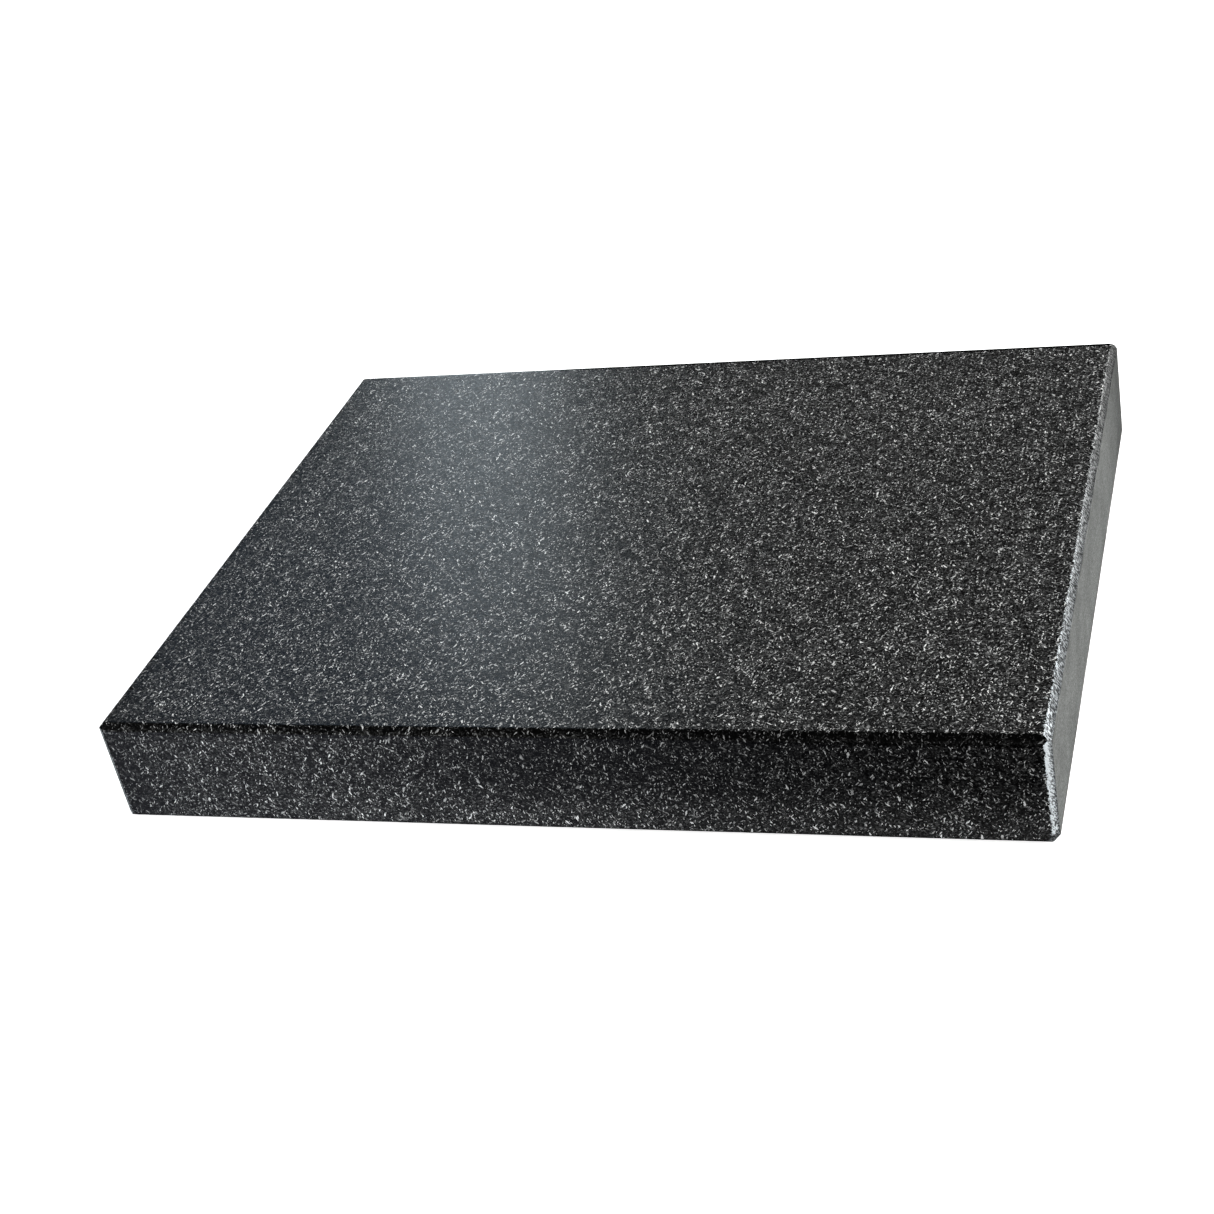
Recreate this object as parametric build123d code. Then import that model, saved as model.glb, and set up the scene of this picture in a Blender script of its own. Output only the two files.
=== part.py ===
from build123d import *
import os

# A granite tooling slab: one solid block of black stone that leather is stamped, carved
# and punched on. It is a single piece, with nothing fitted to it or held inside it.
#
# Frame: the origin is at the middle of the underside, +X runs along the slab's length,
# the machine-finished long edges face -Y and +Y, and +Z points up through the work surface.
# All lengths are in millimetres.

INCH = 25.4

# Overall size
LENGTH = 10 * INCH
WIDTH = 8 * INCH
THICKNESS = 1.25 * INCH

# Leg of the 45 degree arris taken off each kind of edge
LONG_TOP_ARRIS = 1.85
END_ARRIS = 1.70
UNDERSIDE_ARRIS = 1.70


def chamfered_section(across, top_arris, bottom_arris):
    """A vertical cross-section of the slab, standing on the underside, with its four corners cut."""
    section = Rectangle(across, THICKNESS, align=(Align.CENTER, Align.MIN))
    upper = section.vertices().group_by(Axis.Y)[-1]
    section = chamfer(upper, top_arris)
    lower = section.vertices().group_by(Axis.Y)[0]
    return chamfer(lower, bottom_arris)


def long_prism():
    """The slab with only the arrises along its long edges."""
    section = chamfered_section(WIDTH, LONG_TOP_ARRIS, UNDERSIDE_ARRIS)
    return extrude(Plane.YZ * section, LENGTH / 2, both=True)


def cross_prism():
    """The slab with only the arrises along its two ends."""
    section = chamfered_section(LENGTH, END_ARRIS, UNDERSIDE_ARRIS)
    return extrude(Plane.XZ * section, WIDTH / 2, both=True)


def upright_prism():
    """The slab with only the arrises on its four standing corners."""
    plan = Rectangle(LENGTH, WIDTH)
    plan = chamfer(plan.vertices(), END_ARRIS)
    return extrude(plan, THICKNESS)


def granite_slab():
    """Each arris is ground straight along its edge, so three of them meet in a mitre at a corner."""
    return long_prism() & cross_prism() & upright_prism()


os.makedirs("parts", exist_ok=True)
export_step(granite_slab(), "parts/granite_slab.step")
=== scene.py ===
import math

import bpy
import numpy as np
from mathutils import Matrix, Vector
from mathutils.geometry import delaunay_2d_cdt
from mathutils.noise import noise

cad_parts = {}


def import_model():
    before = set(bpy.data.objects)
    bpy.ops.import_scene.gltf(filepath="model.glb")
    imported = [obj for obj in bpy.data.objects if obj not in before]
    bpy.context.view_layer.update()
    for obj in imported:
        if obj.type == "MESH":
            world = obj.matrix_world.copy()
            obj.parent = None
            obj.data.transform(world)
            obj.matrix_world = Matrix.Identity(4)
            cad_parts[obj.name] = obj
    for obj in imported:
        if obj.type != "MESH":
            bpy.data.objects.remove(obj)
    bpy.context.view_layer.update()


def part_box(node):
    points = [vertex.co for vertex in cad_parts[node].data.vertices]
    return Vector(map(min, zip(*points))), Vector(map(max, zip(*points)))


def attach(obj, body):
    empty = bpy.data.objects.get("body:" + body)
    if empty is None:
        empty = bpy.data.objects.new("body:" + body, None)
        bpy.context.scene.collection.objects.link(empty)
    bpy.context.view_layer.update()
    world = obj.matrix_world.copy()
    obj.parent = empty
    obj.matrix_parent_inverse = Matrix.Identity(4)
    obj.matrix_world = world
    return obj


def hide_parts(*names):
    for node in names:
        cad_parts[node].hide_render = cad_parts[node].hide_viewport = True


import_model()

# A black granite tooling slab, in metres, in the part's own frame. Only the stone's material
# works in millimetres.
#
# The stone is one closed mesh: six flat faces, a cut arris along every edge, and the chips and
# ground texture that a hand grinder leaves. One procedural material gives each zone its finish,
# with some light and shade painted into its colour.

NODE = "granite_slab"
MM = 0.001

slab_low, slab_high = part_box(NODE)
CENTRE = (Vector(slab_low) + Vector(slab_high)) / 2
HALF = (Vector(slab_high) - Vector(slab_low)) / 2

# The arrises: legs of the 45 degree cuts
LONG_TOP_ARRIS = 1.85 * MM
ARRIS = 1.70 * MM


# ---------------------------------------------------------------- the uncut block

# Rows of vertices across each arris, and their distances from it on the flat beside it
ARRIS_ROWS = 4
FLAT_ROWS = [0.35 * MM, 0.8 * MM, 1.4 * MM, 2.2 * MM]

# Spacing of the vertices along X, Y and Z between those rows
STATION_PITCH = (1.0 * MM, 0.5 * MM, 0.5 * MM)

# Rings of vertices inside a face: the gap to the first, how much wider each gap is than the one
# before it, and the share of the way to the middle where they stop
FIRST_RING_GAP = 1.0 * MM
RING_GROWTH = 1.6
RING_LIMIT = 0.9

# Vertices of neighbouring faces merge when they agree to this many decimals of a millimetre.
MERGE_DECIMALS = 4

# What the triangulation is asked for: only the inside of the rim, and how near points may lie
INSIDE_ONLY = 1
NEAREST = 1e-7


def border_rows():
    """Distances from a face's edge of the rows of vertices that follow it."""
    rows = [ARRIS * k / ARRIS_ROWS for k in range(ARRIS_ROWS + 1)]
    return rows + [LONG_TOP_ARRIS] + [ARRIS + step for step in FLAT_ROWS]


def stations(half, pitch):
    """Coordinates of the grid lines from one end of a side to the other."""
    rows = border_rows()
    span = 2 * half - 2 * rows[-1]
    count = max(2, round(span / pitch))
    middle = [rows[-1] + span * k / count for k in range(1, count)]
    far = [2 * half - row for row in reversed(rows)]
    return [d - half for d in rows + middle + far]


def ring(half_u, half_v, inset, pitch):
    """Points spaced evenly round a rectangle that lies inset from a face's edges."""
    u, v = half_u - inset, half_v - inset
    count_u, count_v = max(2, round(2 * u / pitch)), max(2, round(2 * v / pitch))
    points = []
    for k in range(count_u):
        step = -u + 2 * u * k / count_u
        points += [(step, -v), (-step, v)]
    for k in range(count_v):
        step = -v + 2 * v * k / count_v
        points += [(u, step), (-u, -step)]
    return points


def inner_triangles(points, rim, half_u, half_v, inset):
    """Triangles that fill a face inside its rim of vertices and grow towards the middle. Their
    new vertices are added to points."""
    flat = [points[k] for k in rim]
    loop = [(k, (k + 1) % len(rim)) for k in range(len(rim))]
    gap = FIRST_RING_GAP
    inset += gap
    while inset <= RING_LIMIT * min(half_u, half_v):
        gap *= RING_GROWTH
        flat += ring(half_u, half_v, inset, gap)
        inset += gap
    made = delaunay_2d_cdt([Vector(p) for p in flat], loop, [], INSIDE_ONLY, NEAREST)
    verts, tris, source = made[0], made[2], made[3]
    number = []
    for vert, origins in zip(verts, source):
        on_rim = [s for s in origins if s < len(rim)]
        if on_rim:
            number.append(rim[on_rim[0]])
        else:
            number.append(len(points))
            points.append((vert.x, vert.y))
    return [tuple(number[k] for k in tri) for tri in tris]


def face_patch(us, vs):
    """Vertices and faces of one flat face: rows of squares along its edges, and triangles inside
    them."""
    edge = len(border_rows()) - 1
    last_u, last_v = len(us) - 1, len(vs) - 1
    index, points, faces = {}, [], []

    def at(i, j):
        if (i, j) not in index:
            index[i, j] = len(points)
            points.append((us[i], vs[j]))
        return index[i, j]

    for i in range(last_u):
        for j in range(last_v):
            inside = edge <= i < last_u - edge and edge <= j < last_v - edge
            if not inside:
                faces.append((at(i, j), at(i + 1, j), at(i + 1, j + 1), at(i, j + 1)))

    rim = [at(i, edge) for i in range(edge, last_u - edge)]
    rim += [at(last_u - edge, j) for j in range(edge, last_v - edge)]
    rim += [at(i, last_v - edge) for i in range(last_u - edge, edge, -1)]
    rim += [at(edge, j) for j in range(last_v - edge, edge, -1)]
    faces += inner_triangles(points, rim, us[-1], vs[-1], us[edge] - us[0])
    return points, faces


def box_surface():
    """The closed surface of the uncut block about its centre, as points and faces."""
    grid = [stations(HALF[axis], STATION_PITCH[axis]) for axis in range(3)]
    merged, points, faces = {}, [], []
    for axis in range(3):
        u_axis, v_axis = (axis + 1) % 3, (axis + 2) % 3
        flat, cells = face_patch(grid[u_axis], grid[v_axis])
        for side in (-1, 1):
            number = []
            for u, v in flat:
                p = [0.0, 0.0, 0.0]
                p[axis], p[u_axis], p[v_axis] = side * HALF[axis], u, v
                key = tuple(round(c / MM, MERGE_DECIMALS) for c in p)
                if key not in merged:
                    merged[key] = len(points)
                    points.append(p)
                number.append(merged[key])
            for cell in cells:
                loop = [number[k] for k in cell]
                faces.append(loop if side > 0 else loop[::-1])
    return np.array(points), faces


# ---------------------------------------------------------------- the cuts

# The cuts move the block's surface straight towards a core, this far inside every face.
CORE_INSET = 6.0 * MM

# The least that anything is divided by
TINY = 1e-9

# How far a hand-ground cut wanders, how rough it is, and over what lengths
ARRIS_WANDER = 0.06 * MM
WANDER_PITCH = 22 * MM
GROUND_RELIEF = 0.11 * MM
RELIEF_PITCHES = (0.9 * MM, 2.4 * MM)

# Share of the relief that is left along the underside's long edges, and where a cut meets a
# sawn end
FOOT_RELIEF = 0.4
LEAST_TORN = 0.12

# How far apart the noises of two seeds are looked up
NOISE_STEP = (17.3, 5.1, 9.7)

# The corner nearest the viewer, at the right end's foot, was dubbed off with the grinder: how
# steep that cut is, how far up the standing arris it reaches, and how far in it lies
DUB_CORNER = (1, -1, -1)
DUB_SLOPE = 0.6
DUB_HEIGHT = 3.0 * MM
DUB_DEPTH = ARRIS + DUB_SLOPE * DUB_HEIGHT

# The chips along a top edge and up a standing corner: how many, the radius of the ball that
# bites, and how deep it bites, both in millimetres. Then how far in from the end they lie, in
# legs of the arris, and the seed of their draws
TOP_CHIPS = (90, (0.9, 2.2), (0.06, 0.26))
CORNER_CHIPS = (14, (0.9, 2.0), (0.06, 0.24))
CHIP_PLACE = (0.85, 1.15)
CHIP_SEED = 11


def fine_noise(points, pitch, seed):
    """Smooth noise from -1 to 1 at each point, with features about pitch across."""
    offset = Vector([seed * step for step in NOISE_STEP])
    return np.array([noise(Vector(p) / pitch + offset) for p in points])


def arris_depths(points):
    """For each pair of axes, how far in the cut along their edge lies at each point. The cuts
    round the ends are ragged where they break into the polished faces, and straight where they
    meet the sawn end."""
    cut = ARRIS + fine_noise(points, WANDER_PITCH, 1) * ARRIS_WANDER
    relief = fine_noise(points, RELIEF_PITCHES[0], 2) * GROUND_RELIEF
    relief += fine_noise(points, RELIEF_PITCHES[1], 3) * GROUND_RELIEF
    gap = np.array(HALF) - np.abs(points)
    depths = {(1, 2): np.where(points[:, 2] > 0, LONG_TOP_ARRIS, cut + FOOT_RELIEF * relief)}
    for other in (1, 2):
        torn = np.clip(0.5 + 0.5 * (gap[:, 0] - gap[:, other]) / ARRIS, LEAST_TORN, 1)
        depths[0, other] = cut + relief * torn
    return depths


def draw_chip(rng, half_span, radii, bites):
    """One chip: its place along its edge, its ball's radius, how far the ball's middle stands
    out of the polished face, and how far along X it lies from the slab's middle."""
    along = rng.uniform(-half_span, half_span)
    radius = rng.uniform(*radii) * MM
    bite = rng.uniform(*bites) * MM
    inset = ARRIS * rng.uniform(*CHIP_PLACE)
    return along, radius, radius - bite, HALF.x - inset


def chips():
    """Small shells knocked out of the polished faces' edges along the ground arrises.
    Each is a ball (centre, radius) that bites into the stone by a fraction of a millimetre."""
    rng = np.random.default_rng(CHIP_SEED)
    found = []
    for end in (-1, 1):
        count, *limits = TOP_CHIPS
        for _ in range(count):
            along, radius, stand, out = draw_chip(rng, HALF.y, *limits)
            found.append(((end * out, along, HALF.z + stand), radius))
        count, *limits = CORNER_CHIPS
        for side in (-1, 1):
            for _ in range(count):
                along, radius, stand, out = draw_chip(rng, HALF.z, *limits)
                found.append(((end * out, side * (HALF.y + stand), along), radius))
    return found


def deepen(push, gap, depth, closing):
    """The push along each ray that also brings every gap up to depth. Closing is how fast the
    gap grows along the ray."""
    need = np.where(gap < depth, (depth - gap) / np.maximum(closing, TINY), 0)
    return np.maximum(push, need)


def bite_chips(push, points, ray):
    """Pushes the points that lie inside a chip's ball on to the ball's far side."""
    length2 = np.maximum((ray ** 2).sum(1), TINY ** 2)
    for centre, radius in chips():
        near = np.abs(points - centre).max(1) < radius + CORE_INSET
        here = points[near] + ray[near] * push[near, None]
        off = here - centre
        along = (off * ray[near]).sum(1) / length2[near]
        apart2 = (off ** 2).sum(1) - along ** 2 * length2[near]
        reach2 = radius ** 2 - apart2
        inside = (off ** 2).sum(1) < radius ** 2
        out = np.sqrt(np.maximum(reach2, 0) / length2[near]) - along
        push[near] += np.where(inside, out, 0)


def cut_block(points):
    """Moves each point of the uncut block straight towards its core until it lies on the cut
    surface: inside every arris, the dubbed corner and every chip."""
    half = np.array(HALF)
    core = np.clip(points, -(half - CORE_INSET), half - CORE_INSET)
    ray = core - points
    push = np.zeros(len(points))
    for (a, b), depth in arris_depths(points).items():
        gap = (half[a] - np.abs(points[:, a])) + (half[b] - np.abs(points[:, b]))
        push = deepen(push, gap, depth, np.abs(ray[:, a]) + np.abs(ray[:, b]))

    corner = np.array(DUB_CORNER)
    weight = np.array((1, 1, DUB_SLOPE))
    gap = ((half - points * corner) * weight).sum(1)
    push = deepen(push, gap, DUB_DEPTH, (-ray * corner * weight).sum(1))
    bite_chips(push, points, ray)
    return points + ray * push[:, None]


def stone_object():
    points, faces = box_surface()
    cut = cut_block(points) + np.array(CENTRE)
    mesh = bpy.data.meshes.new("stone_block")
    mesh.from_pydata(cut.tolist(), [], faces)
    mesh.validate()
    mesh.update()
    stone = bpy.data.objects.new("stone_block", mesh)
    bpy.context.scene.collection.objects.link(stone)
    return stone


# ---------------------------------------------------------------- shader building blocks

# How a noise is built: its layers of detail, and how strongly the finer ones show
SOFT = (1.0, 0.5)
PLAIN = (2.0, 0.5)
ROUGH = (2.0, 0.6)
GRITTY = (2.0, 0.75)
STREAKED = (1.5, 0.65)
LAYERED = (3.0, 0.6)

# Middle stretches of a noise's range that a ramp spreads over all of its own
WIDE = (0.25, 0.75)
BROAD = (0.3, 0.7)
MIDDLE = (0.35, 0.65)
NARROW = (0.38, 0.62)


class Nodes:
    """Adds nodes to one material or world. A value that a method takes is a number, a vector or a
    socket, and what it gives back is a socket or several. Only add gives back the node itself."""

    def __init__(self, material):
        self.tree = material.node_tree

    def add(self, kind, **settings):
        node = self.tree.nodes.new(kind)
        for name, value in settings.items():
            setattr(node, name, value)
        return node

    def put(self, socket, value):
        if isinstance(value, bpy.types.NodeSocket):
            self.tree.links.new(value, socket)
        elif socket.type == "RGBA":
            socket.default_value = (*value, 1)
        else:
            socket.default_value = value

    def math(self, operation, *values):
        node = self.add("ShaderNodeMath", operation=operation)
        for socket, value in zip(node.inputs, values):
            self.put(socket, value)
        return node.outputs[0]

    def total(self, first, *others):
        for other in others:
            first = self.math("ADD", first, other)
        return first

    def product(self, first, *others):
        for other in others:
            first = self.math("MULTIPLY", first, other)
        return first

    def vector(self, operation, *values):
        node = self.add("ShaderNodeVectorMath", operation=operation)
        for socket, value in zip(node.inputs, values):
            self.put(socket, value)
        return node.outputs["Value" if operation in ("DOT_PRODUCT", "LENGTH") else "Vector"]

    def scaled(self, vector, size):
        node = self.add("ShaderNodeVectorMath", operation="SCALE")
        self.put(node.inputs["Vector"], vector)
        self.put(node.inputs["Scale"], size)
        return node.outputs["Vector"]

    def split(self, vector):
        node = self.add("ShaderNodeSeparateXYZ")
        self.put(node.inputs[0], vector)
        return node.outputs

    def ramp(self, value, low, high, to_low=0.0, to_high=1.0, kind="SMOOTHSTEP"):
        """Runs from to_low where the value is low to to_high where it is high."""
        node = self.add("ShaderNodeMapRange", interpolation_type=kind)
        for socket, item in zip(node.inputs, (value, low, high, to_low, to_high)):
            self.put(socket, item)
        return node.outputs[0]

    def straight(self, value, low, high, to_low=0.0, to_high=1.0):
        """A ramp without rounded ends."""
        return self.ramp(value, low, high, to_low, to_high, kind="LINEAR")

    def noise(self, place, pitch, layers=PLAIN, output="Fac"):
        detail, roughness = layers
        node = self.add("ShaderNodeTexNoise")
        self.put(node.inputs["Vector"], place)
        self.put(node.inputs["Scale"], 1 / pitch)
        self.put(node.inputs["Detail"], detail)
        self.put(node.inputs["Roughness"], roughness)
        return node.outputs[output]

    def lattice(self, place, pitch):
        """A 3-D lattice of uneven cells: the middle of the cell that holds each place, three
        numbers drawn for that cell, and the same three as a vector."""
        node = self.add("ShaderNodeTexVoronoi", voronoi_dimensions="3D", feature="F1")
        self.put(node.inputs["Vector"], place)
        self.put(node.inputs["Scale"], 1 / pitch)
        lots = self.add("ShaderNodeSeparateColor")
        self.put(lots.inputs[0], node.outputs["Color"])
        return node.outputs["Position"], lots.outputs, node.outputs["Color"]

    def mix(self, share, first, second):
        """Goes from the first colour to the second."""
        node = self.add("ShaderNodeMix", data_type="RGBA")
        self.put(node.inputs[0], share)
        self.put(node.inputs[6], first)
        self.put(node.inputs[7], second)
        return node.outputs[2]

    def blend(self, share, first, second):
        """Goes from the first number to the second."""
        node = self.add("ShaderNodeMix", data_type="FLOAT")
        self.put(node.inputs[0], share)
        self.put(node.inputs[2], first)
        self.put(node.inputs[3], second)
        return node.outputs[0]


# ---------------------------------------------------------------- where a place lies

# From here to the relief, lengths are in millimetres. The first are how far the block reaches
# from its middle, the legs of its cuts, and how near to a flat face a place counts as on it.
REACH_X, REACH_Y, REACH_Z = (side / MM for side in HALF)
LEG = ARRIS / MM
TOP_LEG = LONG_TOP_ARRIS / MM
SKIN = 0.06

# The middle of the vectors that a noise or a lattice draws
MIDPOINT = (0.5, 0.5, 0.5)

# The places are bent this far, over this length, so that no crystal is quite straight.
BEND = 0.7
BEND_PITCH = 0.9

# The mask of the dubbed corner reaches this far past its cut.
DUB_MARGIN = 0.15


def stone_place(n):
    """The place in the stone in millimetres, and the same place bent a little."""
    place = n.scaled(n.add("ShaderNodeTexCoord").outputs["Object"], 1 / MM)
    drawn = n.noise(place, BEND_PITCH, SOFT, output="Color")
    bend = n.vector("SUBTRACT", drawn, MIDPOINT)
    return place, n.vector("ADD", place, n.scaled(bend, BEND))


def edge_gaps(n, place):
    """How far each place lies in from the block's sides along X, Y and Z, and how far it lies
    from the block's middle."""
    spot = n.split(n.vector("SUBTRACT", place, tuple(CENTRE / MM)))
    gaps = []
    for axis, reach in enumerate((REACH_X, REACH_Y, REACH_Z)):
        gaps.append(n.math("SUBTRACT", reach, n.math("ABSOLUTE", spot[axis])))
    return gaps, spot


def dubbed_corner(n, place):
    """Where the one dubbed corner lies."""
    corner = [slab_low[a] / MM if DUB_CORNER[a] < 0 else slab_high[a] / MM for a in range(3)]
    away = n.vector("SUBTRACT", corner, place)
    slope = (DUB_CORNER[0], DUB_CORNER[1], DUB_CORNER[2] * DUB_SLOPE)
    gap = n.vector("DOT_PRODUCT", away, slope)
    return n.math("LESS_THAN", gap, DUB_DEPTH / MM + DUB_MARGIN)


# ---------------------------------------------------------------- grains and crystals

# The mosaic of dark grains: its pitch, the brightness of the darkest grain, and how many times
# brighter the palest one is
GRAIN_PITCH = 0.36
DARKEST_GRAIN = 0.0010
GRAIN_RANGE = 80.0

# Mottling inside the grains, and clouds that take in many grains and crystals. Each amount is a
# share of the whole range.
MOTTLE_PITCH = 0.30
MOTTLE = 0.3
CLOUD_PITCH = 3.0
CLOUD_ON_GRAINS = 0.15
CLOUD_ON_CRYSTALS = 0.12

# Brightness of the dimmest crystal, and how many times brighter the palest one is
DIMMEST_CRYSTAL = 0.036
CRYSTAL_RANGE = 27.0

# Pitch of the lattice, then radius and half thickness of a plate, the share of cells that hold
# one, and how much the brightness of these plates leans towards the dim end. The lattices of two
# sizes lie this far apart.
CRYSTAL_SIZES = (
    (2.7, 0.86, 0.19, 0.34, 0.2),
    (1.45, 0.56, 0.13, 0.64, 0.55),
    (1.0, 0.40, 0.10, 0.76, 0.8),
    (0.70, 0.29, 0.085, 0.82, 1.1),
)
SEED_STEP = (31.7, 12.9, 7.3)

# The dark rim round each pale crystal: its width, and how much of the light it takes
RIM_WIDTH = 0.26
RIM_DEPTH = 0.6

# Where a crystal and its rim fade in, as the square of the distance from the plate's middle. The
# plate's surface is at 1.
CRYSTAL_FADE = (1.15, 0.8)
RIM_FADE = (1.2, 0.5)

# Roughness of the best and of the worst honed grains
HONED_ROUGHNESS = (0.17, 0.36)


def crystals(n, place, pitch, radius, half_thickness, share, skew, seed):
    """Flat crystals frozen in the stone at every angle: a thin plate in a share of the cells of a
    3-D lattice. Where a face cuts one it shows as a short needle. Returns how much of each place
    is crystal, how bright that crystal is, from 0 to 1, and how much is the dark rim round it."""
    moved = n.vector("ADD", place, tuple(seed * step for step in SEED_STEP))
    middle, lots, drawn = n.lattice(moved, pitch)
    local = n.vector("SUBTRACT", moved, middle)
    normal = n.vector("NORMALIZE", n.vector("SUBTRACT", drawn, MIDPOINT))
    across = n.vector("DOT_PRODUCT", local, normal)
    outward = n.vector("LENGTH", local)

    def body(extra):
        """Square of the distance from the plate's middle, 1 on the surface of a plate that is
        thicker all round by extra."""
        thin = n.math("DIVIDE", across, half_thickness + extra)
        wide = n.math("DIVIDE", outward, radius + extra)
        return n.total(n.product(thin, thin), n.product(wide, wide))

    draw = n.straight(lots[0], 1.0 - share, 1.0)
    present = n.math("GREATER_THAN", draw, 0.0)
    cover = n.product(n.ramp(body(0.0), *CRYSTAL_FADE), present)
    rim = n.product(n.ramp(body(RIM_WIDTH), *RIM_FADE), draw)
    return cover, n.math("POWER", draw, skew), rim


def bare_stone(n, place, bent):
    """Brightness of the cut stone, a mosaic of dark grains with pale crystals of several sizes,
    and how rough the hone left each grain."""
    lots = n.lattice(bent, GRAIN_PITCH)[1]
    mottle = n.straight(n.noise(bent, MOTTLE_PITCH, SOFT), *WIDE, -MOTTLE, MOTTLE)
    cloud = n.straight(n.noise(place, CLOUD_PITCH, ROUGH), *BROAD, -1.0, 1.0)
    shade = n.total(lots[0], mottle, n.product(cloud, CLOUD_ON_GRAINS))
    value = n.product(n.math("POWER", GRAIN_RANGE, shade), DARKEST_GRAIN)
    found = [crystals(n, bent, *size, seed + 1) for seed, size in enumerate(CRYSTAL_SIZES)]
    for _, _, rim in found:
        value = n.product(value, n.straight(rim, 0.0, 1.0, 1.0, 1.0 - RIM_DEPTH))
    for cover, draw, _ in found:
        draw = n.math("MINIMUM", n.total(draw, n.product(cloud, CLOUD_ON_CRYSTALS)), 1.0)
        pale = n.product(n.math("POWER", CRYSTAL_RANGE, draw), DIMMEST_CRYSTAL)
        value = n.blend(cover, value, pale)
    return value, n.straight(lots[1], 0.0, 1.0, *HONED_ROUGHNESS)


# ---------------------------------------------------------------- the honed faces

# The long edges are lighter towards the foot, most of all on the right: painted light. Given are
# the height above the middle where that starts, the height above the foot where it is full, its
# run along X, how much brighter the stone gets, and the painted haze of light that lies over it
FOOT_LIGHT_START = 3.0
FOOT_LIGHT_FULL = 1.0
FOOT_LIGHT_RUN = (-95.0, 10.0)
FOOT_LIGHT_GAIN = 1.1
FOOT_LIGHT_HAZE = 0.014

# Towards the right they are darker between their crystals, which is painted shade: the run along
# X, the share of the light that dark stone keeps there, and how much more pale stone keeps
RIGHT_SHADE_RUN = (-80.0, 20.0)
RIGHT_SHADE_DARK = 0.76
RIGHT_SHADE_PALE = 0.26

# The stone is darker next to the left end, which is painted shade: how far in that runs, and the
# share of light at its darkest
LEFT_SHADE_RUN = (1.5, 14.0)
LEFT_SHADE_SHARE = 0.6


def honed_faces(n, stone, gaps, spot):
    """Brightness of the top and the long edges."""
    on_side = n.math("LESS_THAN", gaps[1], SKIN)
    # Painted light: the long edges grow lighter towards the foot and the right.
    painted_foot_light = n.ramp(spot[2], FOOT_LIGHT_START, -REACH_Z + FOOT_LIGHT_FULL)
    painted_foot_light = n.product(painted_foot_light, n.ramp(spot[0], *FOOT_LIGHT_RUN), on_side)
    # Painted shade: the long edges' dark stone grows darker towards the right.
    right_shade = n.product(on_side, n.ramp(spot[0], *RIGHT_SHADE_RUN))
    deep = n.total(RIGHT_SHADE_DARK, n.product(stone, RIGHT_SHADE_PALE))
    value = n.product(stone, n.blend(right_shade, 1.0, deep))
    gain = n.total(1.0, n.product(painted_foot_light, FOOT_LIGHT_GAIN))
    value = n.total(n.product(value, gain), n.product(painted_foot_light, FOOT_LIGHT_HAZE))
    # Painted shade next to the left end.
    start, stop = LEFT_SHADE_RUN
    return n.product(value, n.ramp(spot[0], -REACH_X + start, -REACH_X + stop, LEFT_SHADE_SHARE, 1.0))


# ---------------------------------------------------------------- the polished long arrises

# The polish ends on a ragged line: how far past the cut that is on the slab's front half and at
# its back, how far the line strays and over what length, and how far the polish fades out beyond
# it on the top and on the long edge
SHINE_PAST = (0.05, 0.9)
SHINE_RAGGED = (-0.22, 0.45)
SHINE_RAGGED_PITCH = 0.7
SHINE_FADE = (0.25, 1.0)

# Where across the arris the black half gives way to the dim half, from -1 at the top to 1 at the
# long edge, and how ragged that is
SHINE_HALVES = (-0.25, 0.85)
SHINE_HALVES_RAGGED = 0.5

# The share of the stone's own light that is kept at the left end and at the right end, where its
# fall to the right is painted shade: in the dim half, and in the black half, where it is smaller
# again by what dark and pale stone keep
DIM_SHADE_KEEP = (0.62, 0.20)
BLACK_SHADE_KEEP = (1.35, 0.12)
BLACK_DARK = 0.10
BLACK_PALE = 0.6


def polished_arris(n, value, place, gaps, spot):
    """The long top arrises shine. Their upper half is so well polished that it goes black and only
    bright crystals show; the lower half is a dim version of the stone."""
    drop = n.math("SUBTRACT", REACH_Z, spot[2])
    ragged = n.ramp(n.noise(place, SHINE_RAGGED_PITCH, ROUGH), *BROAD, *SHINE_RAGGED)
    spread = n.ramp(spot[1], 0.0, REACH_Y, *(TOP_LEG + past for past in SHINE_PAST))
    beyond = n.math("SUBTRACT", n.total(gaps[1], drop), n.total(ragged, spread))
    fade = n.blend(n.math("GREATER_THAN", drop, gaps[1]), *SHINE_FADE)
    where = n.ramp(n.math("DIVIDE", beyond, fade), 0.0, 1.0, 1.0, 0.0)

    across = n.math("DIVIDE", n.math("SUBTRACT", drop, gaps[1]), TOP_LEG)
    lower = n.ramp(n.total(across, n.product(ragged, SHINE_HALVES_RAGGED)), *SHINE_HALVES)
    # Painted shade: both halves keep less of the stone's light from the left end to the right end.
    depth = n.straight(spot[0], -REACH_X, REACH_X, *BLACK_SHADE_KEEP)
    black = n.product(n.total(n.product(value, BLACK_PALE), BLACK_DARK), depth)
    dim = n.straight(spot[0], -REACH_X, REACH_X, *DIM_SHADE_KEEP)
    return where, n.product(value, n.blend(lower, black, dim))


# ---------------------------------------------------------------- the ground cuts

# Splinters of bruised stone run from the cuts at the ends into the polished faces. They come in
# clusters, thin out to a few between those, and reach out by up to this much.
SPLINTER_REACH = 1.8
SPLINTER_PITCH = 0.32
SPLINTER_SQUEEZE = (0.30, 1.0, 1.0)
SPLINTER_RAMP = (0.60, 0.74)
CLUSTER_PITCH = 4.0
CLUSTER_RAMP = (0.48, 0.66)
BETWEEN_CLUSTERS = 0.04

# The cut's own line against a polished face: how ragged it is, how far past the cut it lies, and
# how far past it a splinter starts
LINE_PITCH = 0.45
LINE_RAGGED = (-0.10, 0.14)
LINE_PAST = 0.10
SPLINTER_PAST = 0.16

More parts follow.
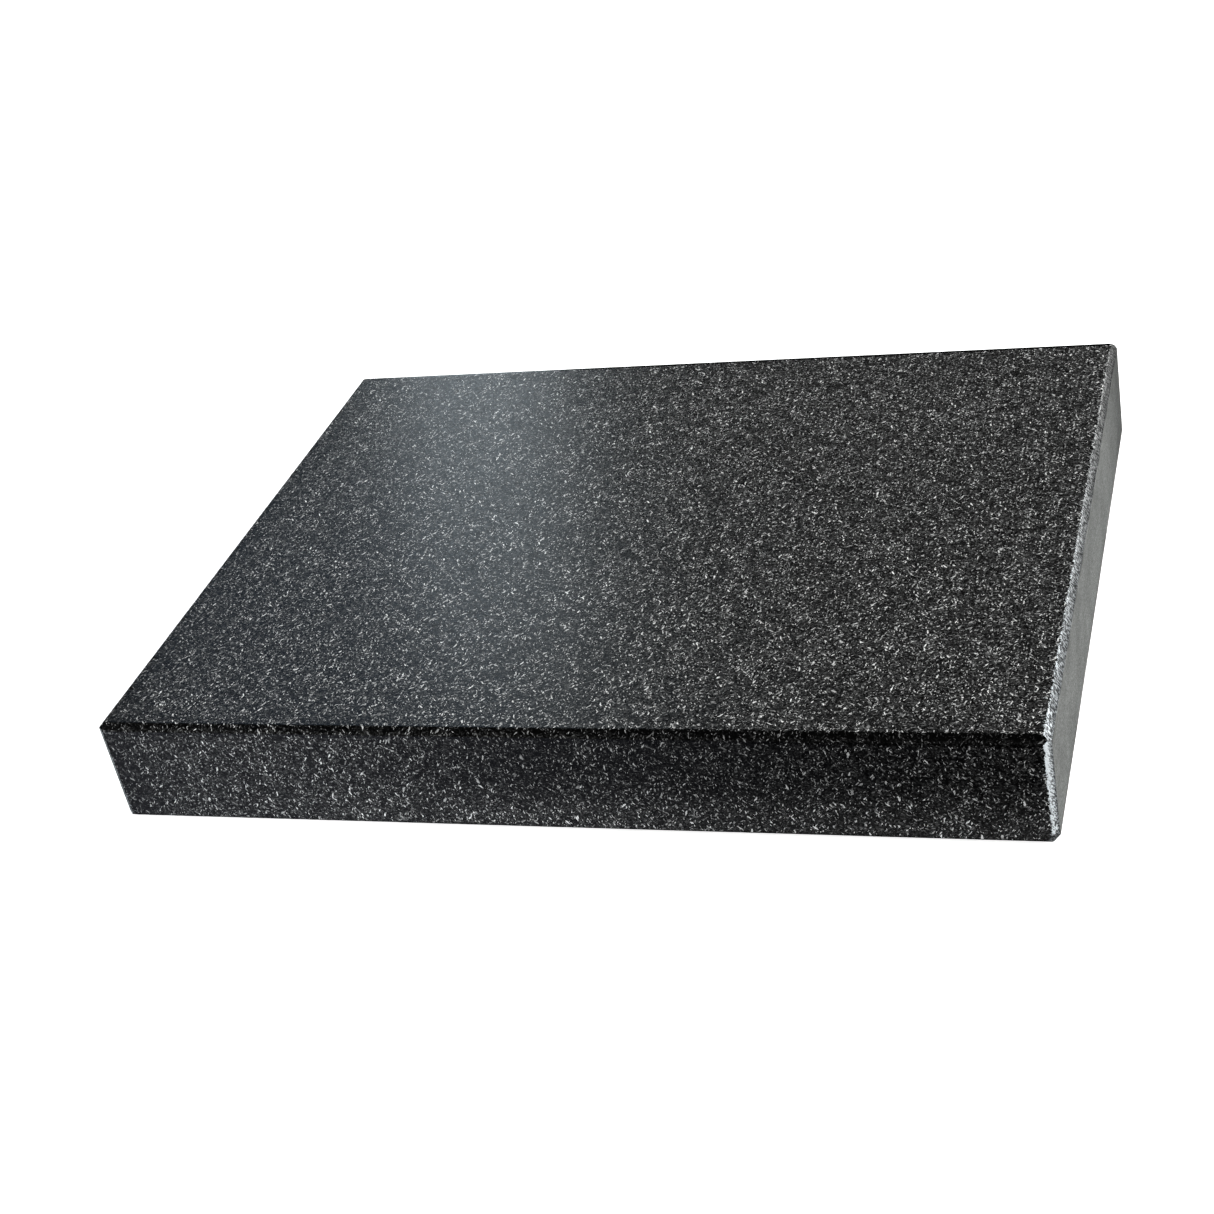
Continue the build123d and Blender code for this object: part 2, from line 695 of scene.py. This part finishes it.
# Streaks cross the cuts at a slant. Each direction comes with how far it is squeezed.
STREAK_PITCH = 0.36
LEVEL_SLANT = ((1.0, -1.5, -1.0), 0.36)
UPRIGHT_SLANT = ((1.0, 1.0, -2.0), 0.45)

# Brightness of the cuts: it rises across a cut, from -1 at the sawn end to 1 at the polished face,
# and a bruise along the polished face adds to it. In each pair the first value is for the cuts
# along the top and the foot, and the second is for the standing ones.
AT_SAWN_END = (0.21, 0.09)
AT_POLISHED = (0.46, 0.72)
BRUISE = (0.52, 1.0)
BRUISE_FROM = (0.60, 0.0)
RISE_FROM = -1.0
RISE_TO = 0.8
BRUISE_TO = 1.02

# How strongly light streaks stand out, and how bright the stone between them is: along the level
# cuts, and up a standing one from foot to top
STREAK_LIGHT = 1.9
BETWEEN_STREAKS = 0.16
BETWEEN_STREAKS_UPRIGHT = (0.10, 0.50)

# Painted light on the cuts: brightness falling from the front of the slab to its back, and what is
# added right at the front
LIGHT_FRONT_TO_BACK = (0.84, 0.30)
FRONT_LIGHT_ADDED = 0.80
FRONT_LIGHT_RUN = 18

# Brightness of a splinter, the most that any place has, the share that the left end keeps, which
# is painted shade, and what the dubbed corner has, which is less bruised
SPLINTER_LIGHT = 0.75
BRIGHTEST_CUT = 0.94
LEFT_END_SHADE = 0.5
DUB_LIGHT = 0.20


def stretched(n, place, along, amount):
    """Places squeezed along a direction, so that a noise looked up there runs out in streaks."""
    way = tuple(Vector(along).normalized())
    shift = n.product(n.vector("DOT_PRODUCT", place, way), amount - 1.0)
    return n.vector("ADD", place, n.scaled(way, shift))


def end_cuts(n, gaps):
    """The cuts along the ends: which places are nearer to a standing cut than to a level one, how
    far each lies from the uncut edge, and where it lies across the cut."""
    level = n.total(gaps[0], gaps[2])
    upright = n.total(gaps[0], gaps[1])
    on_upright = n.math("LESS_THAN", upright, level)
    gap = n.math("MINIMUM", level, upright)
    other = n.blend(on_upright, gaps[2], gaps[1])
    across = n.math("DIVIDE", n.math("SUBTRACT", gaps[0], other), LEG)
    return on_upright, gap, across


def splintered(n, place, gap, across):
    """Where the cuts lie, with their splinters, and where the splinters alone lie."""
    slant = n.vector("MULTIPLY", place, SPLINTER_SQUEEZE)
    spike = n.ramp(n.noise(slant, SPLINTER_PITCH, SOFT), *SPLINTER_RAMP)
    cluster = n.ramp(n.noise(place, CLUSTER_PITCH), *CLUSTER_RAMP, BETWEEN_CLUSTERS, 1.0)
    reach = n.product(spike, cluster, SPLINTER_REACH)
    ragged = n.ramp(n.noise(place, LINE_PITCH, ROUGH), *BROAD, *LINE_RAGGED)
    polished_side = n.math("GREATER_THAN", across, 0.5)
    fringe = n.product(n.total(reach, ragged), polished_side)
    where = n.math("LESS_THAN", gap, n.total(fringe, LEG + LINE_PAST))
    return where, n.product(where, n.math("GREATER_THAN", gap, LEG + SPLINTER_PAST))


def grinder_streaks(n, place, on_upright):
    level = n.noise(stretched(n, place, *LEVEL_SLANT), STREAK_PITCH, STREAKED)
    upright = n.noise(stretched(n, place, *UPRIGHT_SLANT), STREAK_PITCH, STREAKED)
    return n.ramp(n.blend(on_upright, level, upright), *NARROW)


def ground_arris(n, place, gaps, spot):
    """The cut along each end, made by hand with a coarse grinder. Returns where it lies, how
    bright it is and how its surface stands."""
    on_upright, gap, across = end_cuts(n, gaps)
    where, splinter = splintered(n, place, gap, across)
    streak = grinder_streaks(n, place, on_upright)

    low, high = n.blend(on_upright, *AT_SAWN_END), n.blend(on_upright, *AT_POLISHED)
    level = n.ramp(across, RISE_FROM, RISE_TO, low, high)
    start, most = n.blend(on_upright, *BRUISE_FROM), n.blend(on_upright, *BRUISE)
    bruise = n.ramp(across, start, BRUISE_TO, 0.0, most)
    # Painted light: the cuts are brighter towards the front, most of all right at it.
    front = n.straight(spot[1], -REACH_Y, REACH_Y, *LIGHT_FRONT_TO_BACK)
    nearest = n.ramp(spot[1], -REACH_Y, -REACH_Y + FRONT_LIGHT_RUN, FRONT_LIGHT_ADDED, 0.0)
    between = n.ramp(spot[2], -REACH_Z, REACH_Z, *BETWEEN_STREAKS_UPRIGHT)
    between = n.blend(on_upright, BETWEEN_STREAKS, between)
    swing = n.total(n.product(streak, streak, STREAK_LIGHT), between)

    value = n.product(n.total(level, bruise), swing, n.total(front, nearest))
    value = n.math("MAXIMUM", value, n.product(splinter, SPLINTER_LIGHT))
    value = n.math("MINIMUM", value, BRIGHTEST_CUT)
    # Painted shade: the cuts grow darker towards the left end.
    value = n.product(value, n.ramp(spot[0], -REACH_X, 0.0, LEFT_END_SHADE, 1.0))
    dub = dubbed_corner(n, place)
    value = n.blend(dub, value, n.product(swing, DUB_LIGHT))
    return n.math("MAXIMUM", where, dub), value, streak


# ---------------------------------------------------------------- the sawn faces

# Brightness of the sawn stone, and what varies it: crushed grains, long faint scratches across
# the slab, and stains
SAWN_LIGHT = 0.248
CRUSH_PITCH = 0.40
CRUSH = (0.62, 1.38)
SCRATCH_PITCH = 0.9
SCRATCH_STRETCH = (1.0, 0.035, 1.0)
SCRATCH = (0.93, 1.07)
STAIN_PITCH = 11.0
STAIN = (0.90, 1.06)

# It is darker at the foot, up to this height, and towards the back, between these distances
# from it. Both are painted shade.
FOOT_SHADE_SHARE = 0.93
FOOT_RUN = 9
BACK_SHADE_SHARE = 0.58
BACK_RUN = (50, 5)

# A broken band of darker and lighter stone follows the level cuts on each end, and fades out
# between these distances from them.
BAND_FADE = (0.8, 1.5)
BAND_BREAK_PITCH = 9.0
BAND_BREAK = (0.36, 0.62)
BAND_LIGHT = (-0.45, 0.25)

# Blade marks: the hub of the saw disc, which stood above the stone, how far apart its arcs are,
# and the length over which they waver
BLADE_HUB = (0.0, 35.0, 190.0)
BLADE_PITCH = 1.9
BLADE_WAVER_PITCH = 9.0


def sawn_face(n, place, gaps, spot, on_end):
    """The ends and the underside as the saw left them: grey, with crushed grains and faint blade
    marks."""
    crush = n.ramp(n.noise(place, CRUSH_PITCH, GRITTY), *NARROW, *CRUSH)
    drawn_out = n.vector("MULTIPLY", place, SCRATCH_STRETCH)
    scratch = n.ramp(n.noise(drawn_out, SCRATCH_PITCH, LAYERED), *MIDDLE, *SCRATCH)
    stain = n.ramp(n.noise(place, STAIN_PITCH), *MIDDLE, *STAIN)
    # Painted shade at the foot.
    foot = n.ramp(spot[2], -REACH_Z, -REACH_Z + FOOT_RUN, FOOT_SHADE_SHARE, 1.0)
    band = n.ramp(n.math("SUBTRACT", gaps[2], LEG), *BAND_FADE, 1.0, 0.0)
    broken = n.ramp(n.noise(place, BAND_BREAK_PITCH, SOFT), *BAND_BREAK, *BAND_LIGHT)
    band = n.total(1.0, n.product(band, on_end, broken))
    # Painted shade towards the back.
    start, stop = BACK_RUN
    back = n.ramp(spot[1], REACH_Y - start, REACH_Y - stop, 1.0, BACK_SHADE_SHARE)
    value = n.product(crush, scratch, stain, foot, band, back, SAWN_LIGHT)

    hub = n.vector("SUBTRACT", place, BLADE_HUB)
    sideways = n.vector("LENGTH", n.vector("MULTIPLY", hub, (0.0, 1.0, 1.0)))
    radius = n.total(sideways, n.noise(place, BLADE_WAVER_PITCH, SOFT))
    mark = n.math("SINE", n.product(radius, 2 * math.pi / BLADE_PITCH))
    return value, mark


# ---------------------------------------------------------------- the stone's material

# Tints of the bare stone, of the sawn faces, and of the ground cuts at the back and at the front,
# where the bluer front is painted light
STONE_TINT = (0.99, 1.0, 0.99)
SAWN_TINT = (0.968, 1.0, 0.975)
GROUND_TINT_BACK = (0.985, 1.0, 0.995)
GROUND_FRONT_LIGHT_TINT = (0.90, 0.96, 1.0)

# Roughness of the finishes that are the same all over, and the shine of the whole stone
POLISHED_ROUGHNESS = 0.14
SAWN_ROUGHNESS = 0.8
GROUND_ROUGHNESS = 0.7
STONE_SHINE = 0.22

# Relief, in metres: fine pits on the honed faces, blade marks and broken grains on the sawn ones,
# and torn stone on the cuts. The pitches are in millimetres.
PIT_DEPTH = 0.004 * MM
PIT_PITCH = 0.35
BLADE_DEPTH = 0.006 * MM
GRIT_DEPTH = 0.03 * MM
GRIT_PITCH = 0.5
TORN_DEPTH = 0.10 * MM


def relief(n, place, bent, mark, streak, sawn, ground):
    """The small relief of each finish, as a bumped normal."""
    pits = n.product(n.noise(bent, PIT_PITCH, ROUGH), PIT_DEPTH)
    grit = n.product(n.noise(place, GRIT_PITCH, ROUGH), GRIT_DEPTH)
    blade = n.total(n.product(mark, BLADE_DEPTH), grit)
    torn = n.product(streak, TORN_DEPTH)
    bump = n.add("ShaderNodeBump")
    bump.inputs["Strength"].default_value = 1.0
    bump.inputs["Distance"].default_value = 1.0
    n.put(bump.inputs["Height"], n.blend(ground, n.blend(sawn, pits, blade), torn))
    return bump.outputs[0]


def granite_material():
    material = bpy.data.materials.new("black_granite")
    material.use_nodes = True
    material.node_tree.nodes.clear()
    n = Nodes(material)
    place, bent = stone_place(n)
    gaps, spot = edge_gaps(n, place)
    on_end = n.math("LESS_THAN", gaps[0], SKIN)
    underneath = n.math("LESS_THAN", spot[2], -REACH_Z + SKIN)
    sawn = n.math("MAXIMUM", on_end, underneath)

    stone, honed = bare_stone(n, place, bent)
    ground, ground_value, streak = ground_arris(n, place, gaps, spot)
    sawn_value, mark = sawn_face(n, place, gaps, spot, on_end)
    polished, polished_value = polished_arris(n, stone, place, gaps, spot)

    value = n.blend(polished, honed_faces(n, stone, gaps, spot), polished_value)
    value = n.blend(sawn, value, sawn_value)
    value = n.blend(ground, value, ground_value)
    # Painted light: the ground cuts turn bluer towards the front.
    front_light_share = n.ramp(spot[1], REACH_Y, -REACH_Y)
    tint = n.mix(sawn, STONE_TINT, SAWN_TINT)
    tint = n.mix(ground, tint, n.mix(front_light_share, GROUND_TINT_BACK, GROUND_FRONT_LIGHT_TINT))
    rough = n.blend(polished, honed, POLISHED_ROUGHNESS)
    rough = n.blend(sawn, rough, SAWN_ROUGHNESS)
    rough = n.blend(ground, rough, GROUND_ROUGHNESS)

    shader = n.add("ShaderNodeBsdfPrincipled")
    n.put(shader.inputs["Base Color"], n.scaled(tint, value))
    n.put(shader.inputs["Roughness"], rough)
    n.put(shader.inputs["Normal"], relief(n, place, bent, mark, streak, sawn, ground))
    shader.inputs["Specular IOR Level"].default_value = STONE_SHINE
    out = n.add("ShaderNodeOutputMaterial")
    n.put(out.inputs["Surface"], shader.outputs[0])
    return material


# ---------------------------------------------------------------- floor and light

WHITE = (1.0, 1.0, 1.0)

# The floor: how far it reaches, how far it lies below the slab, and its finish and glow
FLOOR_REACH = 6.0
FLOOR_DROP = 0.02 * MM
FLOOR_GREY = 0.9
FLOOR_ROUGHNESS = 0.9
FLOOR_GLOW = 0.88

# The room round the slab: grey above, dark below, with a pale bluish patch low on the left that
# fades out between these angles from its middle
ROOM_ABOVE = 0.05
ROOM_BELOW = 0.0
HORIZON = 0.15
GLOW_FROM = (-39, -31)
GLOW_FADE = (20, 4)
GLOW_COLOUR = (0.47, 0.50, 0.62)


def floor():
    """A white floor that only the camera sees, so the slab is lit by the studio alone."""
    mesh = bpy.data.meshes.new("floor")
    corners = [(-1, -1), (1, -1), (1, 1), (-1, 1)]
    verts = [(FLOOR_REACH * x, FLOOR_REACH * y, 0) for x, y in corners]
    mesh.from_pydata(verts, [], [(0, 1, 2, 3)])
    ground = bpy.data.objects.new("floor", mesh)
    ground.location.z = slab_low[2] - FLOOR_DROP
    ground.visible_diffuse = False
    ground.visible_glossy = False
    ground.visible_shadow = False
    material = bpy.data.materials.new("white_floor")
    material.use_nodes = True
    shader = material.node_tree.nodes["Principled BSDF"]
    shader.inputs["Base Color"].default_value = (FLOOR_GREY, FLOOR_GREY, FLOOR_GREY, 1)
    shader.inputs["Roughness"].default_value = FLOOR_ROUGHNESS
    shader.inputs["Specular IOR Level"].default_value = 0.0
    shader.inputs["Emission Color"].default_value = (*WHITE, 1)
    shader.inputs["Emission Strength"].default_value = FLOOR_GLOW
    mesh.materials.append(material)
    bpy.context.scene.collection.objects.link(ground)


def direction(azimuth, elevation):
    """Unit vector towards an azimuth, counted from -Y towards +X, and an elevation, in degrees."""
    a, e = math.radians(azimuth), math.radians(elevation)
    return Vector((math.sin(a) * math.cos(e), -math.cos(a) * math.cos(e), math.sin(e)))


def looking(towards, roll):
    """The rotation that looks along a direction, rolled by some degrees."""
    turn = Matrix.Rotation(math.radians(roll), 4, "Z").to_quaternion()
    return towards.to_track_quat("-Z", "Y") @ turn


def softbox(name, azimuth, elevation, distance, size, brightness, colour, lean=0, glossy=True):
    """A rectangular area light that looks at the slab and isn't seen itself. At brightness 1 a
    white surface that faces it at the slab looks white. Its top leans over by some degrees. If
    it isn't glossy, it doesn't mirror in the polish."""
    data = bpy.data.lights.new(name, "AREA")
    data.shape = "RECTANGLE"
    data.size, data.size_y = size
    data.energy = brightness * (math.pi * distance) ** 2
    data.color = colour
    lamp = bpy.data.objects.new(name, data)
    towards = direction(azimuth, elevation)
    lamp.location = CENTRE + towards * distance
    lamp.rotation_mode = "QUATERNION"
    lamp.rotation_quaternion = looking(-towards, lean)
    lamp.visible_camera = False
    lamp.visible_glossy = glossy
    bpy.context.scene.collection.objects.link(lamp)


def lamps():
    """The studio: a large key from the right, an overhead, a small strip and weak fills round the
    slab, and two faint windows behind it that mirror in the top. Each has its azimuth, elevation,
    distance, size, brightness and colour."""
    softbox("key", 79, 30, 2.4, (1.3, 1.3), 1.0, (1.0, 1.0, 0.99))
    softbox("overhead", 0, 88, 1.8, (1.2, 1.2), 0.46, WHITE)
    softbox("front_strip", -28, 1, 0.20, (0.06, 0.03), 0.115, (0.93, 0.97, 1.0), glossy=False)
    softbox("front_fill", 20, 5, 1.2, (0.5, 0.3), 0.12, WHITE, glossy=False)
    softbox("left_fill", 262, 7, 2.2, (1.0, 1.0), 0.42, (0.97, 0.99, 1.0), glossy=False)
    softbox("back_fill", 168, 6, 2.2, (1.0, 0.6), 0.32, WHITE, glossy=False)
    softbox("sheen", 206, 24, 1.5, (0.15, 0.55), 0.0325, (0.77, 0.91, 1.0), lean=-9)
    softbox("haze", 216, 34, 1.5, (0.36, 0.50), 0.0118, (0.46, 0.69, 1.0))


def world():
    """The room, which the camera itself sees as plain white."""
    studio = bpy.data.worlds.new("studio")
    studio.use_nodes = True
    studio.node_tree.nodes.clear()
    n = Nodes(studio)
    towards = n.add("ShaderNodeTexCoord").outputs["Generated"]
    height = n.vector("DOT_PRODUCT", towards, (0.0, 0.0, 1.0))
    room = n.ramp(height, -HORIZON, HORIZON, ROOM_BELOW, ROOM_ABOVE)
    facing = n.vector("DOT_PRODUCT", towards, tuple(direction(*GLOW_FROM)))
    glow = n.ramp(facing, *(math.cos(math.radians(angle)) for angle in GLOW_FADE))
    light = n.vector("ADD", n.scaled(WHITE, room), n.scaled(GLOW_COLOUR, glow))
    seen = n.mix(n.add("ShaderNodeLightPath").outputs["Is Camera Ray"], light, WHITE)
    background = n.add("ShaderNodeBackground")
    n.put(background.inputs["Color"], seen)
    out = n.add("ShaderNodeOutputWorld")
    n.put(out.inputs["Surface"], background.outputs[0])
    bpy.context.scene.world = studio


# ---------------------------------------------------------------- camera

# The camera, in the slab's frame: its place in metres, the azimuth and elevation from which it
# looks, its roll, its sensor and lens in millimetres, how far the view is shifted sideways as a
# share of the sensor, and the nearest and furthest that it sees, in metres
CAMERA_PLACE = (0.1880, -0.5001, 0.3303)
CAMERA_DIRECTION = (23.172, 31.071)
CAMERA_ROLL = -12.877
SENSOR = 36.0
LENS = 62.99
SHIFT = 0.0297
NEAREST_SEEN = 0.01
FURTHEST_SEEN = 50


def camera():
    data = bpy.data.cameras.new("camera")
    data.sensor_width = SENSOR
    data.lens = LENS
    data.shift_x = SHIFT
    data.clip_start = NEAREST_SEEN
    data.clip_end = FURTHEST_SEEN
    eye = bpy.data.objects.new("camera", data)
    eye.rotation_mode = "QUATERNION"
    eye.rotation_quaternion = looking(-direction(*CAMERA_DIRECTION), CAMERA_ROLL)
    eye.location = CAMERA_PLACE
    bpy.context.scene.collection.objects.link(eye)
    bpy.context.scene.camera = eye


# ---------------------------------------------------------------- making it all

stone = stone_object()
stone.data.materials.append(granite_material())
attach(stone, "root")
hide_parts(NODE)

floor()
world()
lamps()
camera()
bpy.context.scene.view_settings.view_transform = "Standard"

bpy.context.view_layer.update()
